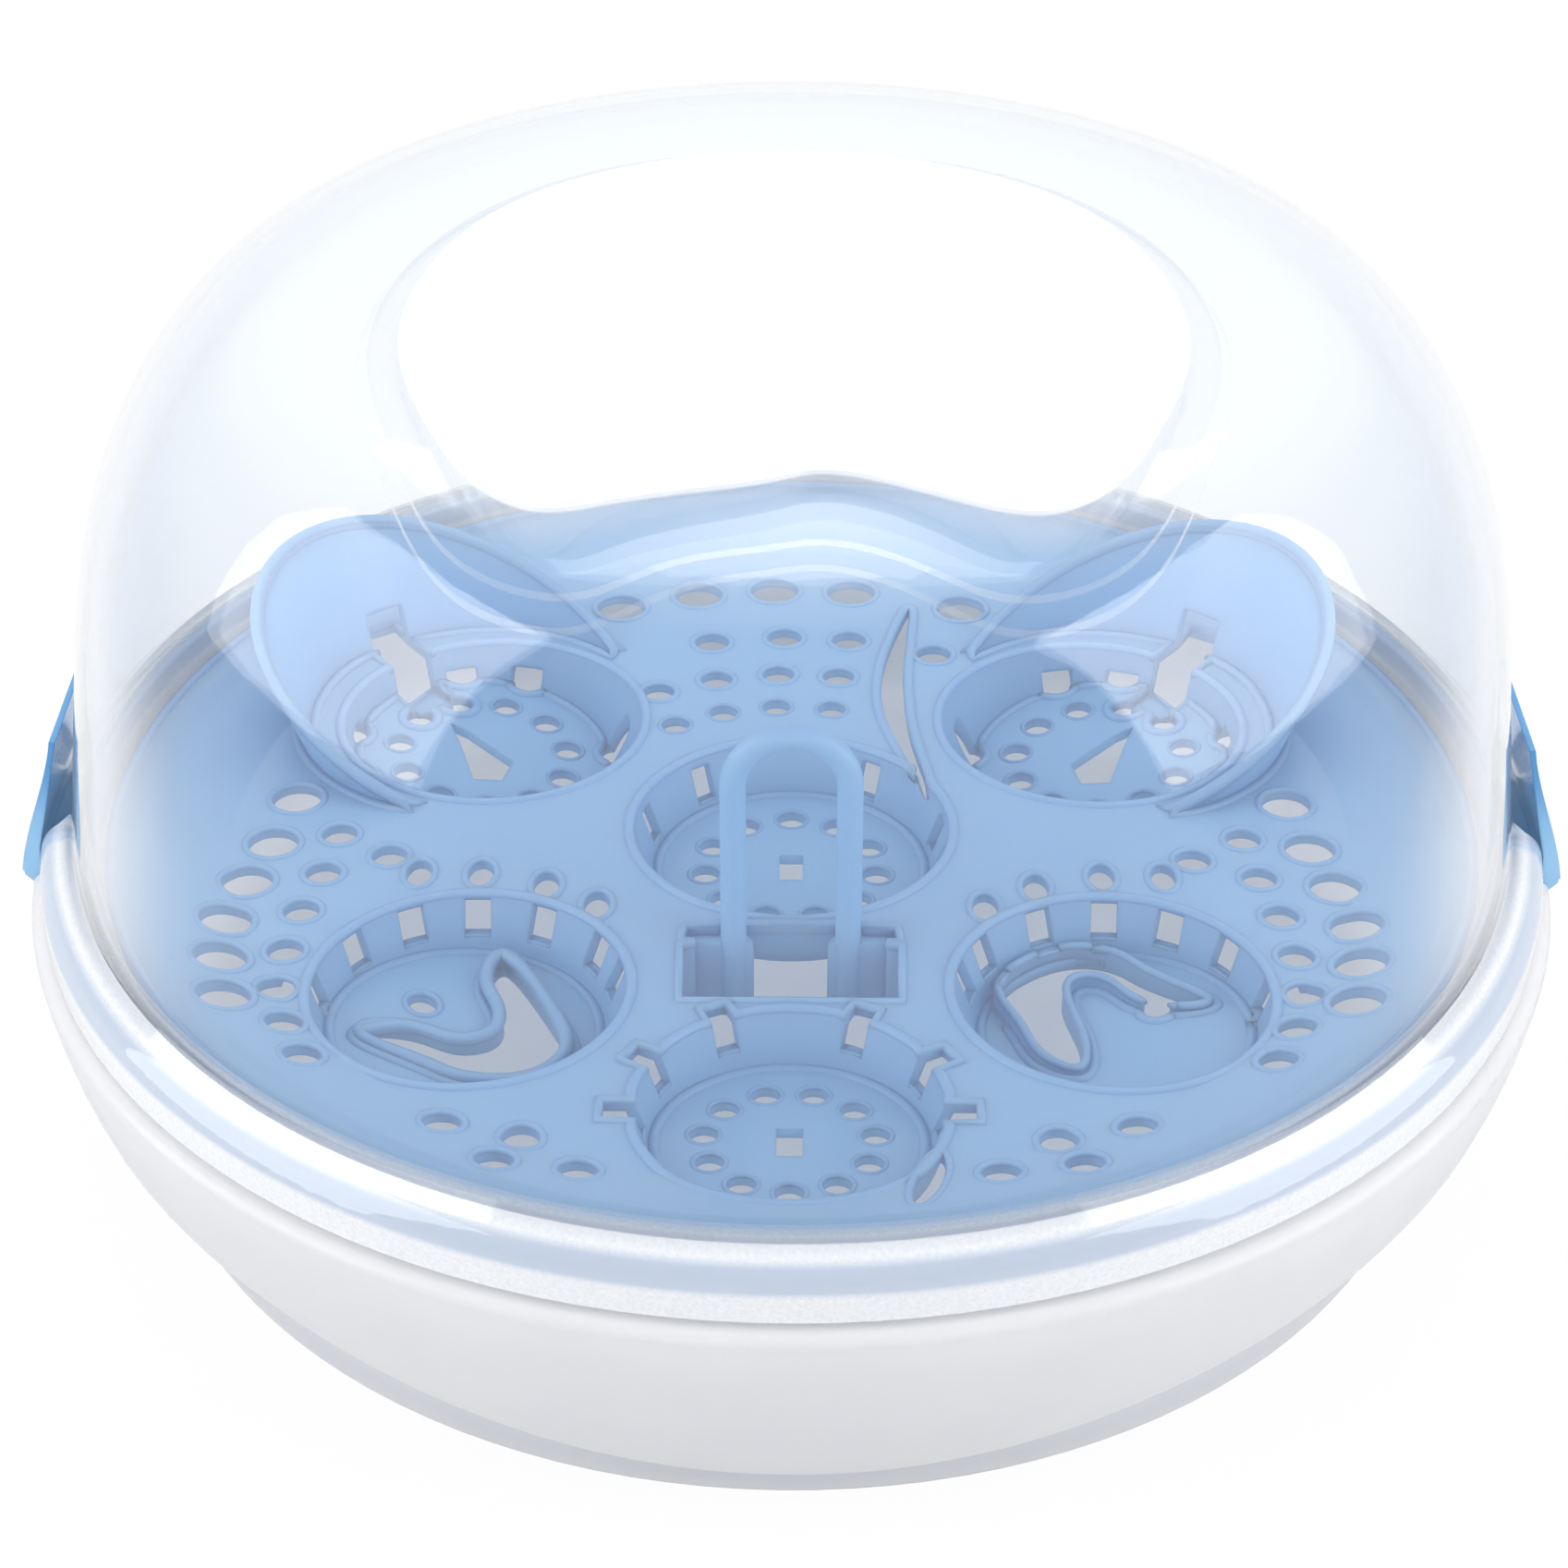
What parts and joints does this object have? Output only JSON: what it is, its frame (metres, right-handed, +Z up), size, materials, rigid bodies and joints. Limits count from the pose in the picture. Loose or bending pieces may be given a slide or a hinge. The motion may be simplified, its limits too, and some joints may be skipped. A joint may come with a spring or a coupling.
{
  "type": "microwave bottle sterilizer",
  "caption": "Round microwave steam sterilizer: white bowl base, perforated blue basket with a lift loop, clear domed lid and side clips.",
  "frame": {"origin": "under the middle of the foot ring, on the plane that the base stands on", "axes": "+Z up along the axis of the bowl, -Y to the front, +X to the right as seen from the front"},
  "size_m": [0.282, 0.28, 0.166],
  "materials": {
    "white_shell": "gloss",
    "clear_shell": "clear, slightly frosted",
    "blue_tray": "satin",
    "blue_clip": "gloss"
  },
  "bodies": {
    "base": {"base": "white_shell"},
    "basket": {"basket": "blue_tray", "lift_loop": "blue_tray"},
    "lid": {"lid": "clear_shell"},
    "left_clip": {"left_clip": "blue_clip"},
    "right_clip": {"right_clip": "blue_clip"}
  },
  "joints": [
    {"name": "basket_lift", "type": "slide", "parent": "base", "child": "basket", "axis": [0, 0, 1], "range_m": [0, 0.15]},
    {"name": "lid_lift", "type": "slide", "parent": "basket", "child": "lid", "axis": [0, 0, 1], "range_m": [0, 0.18]},
    {"name": "left_clip_hinge", "type": "hinge", "parent": "base", "child": "left_clip", "pos_m": [-0.1358, 0, 0.0465], "axis": [0, -1, 0], "range_deg": [0, 100]},
    {"name": "right_clip_hinge", "type": "hinge", "parent": "base", "child": "right_clip", "pos_m": [0.1358, 0, 0.0465], "axis": [0, 1, 0], "range_deg": [0, 100]}
  ]
}
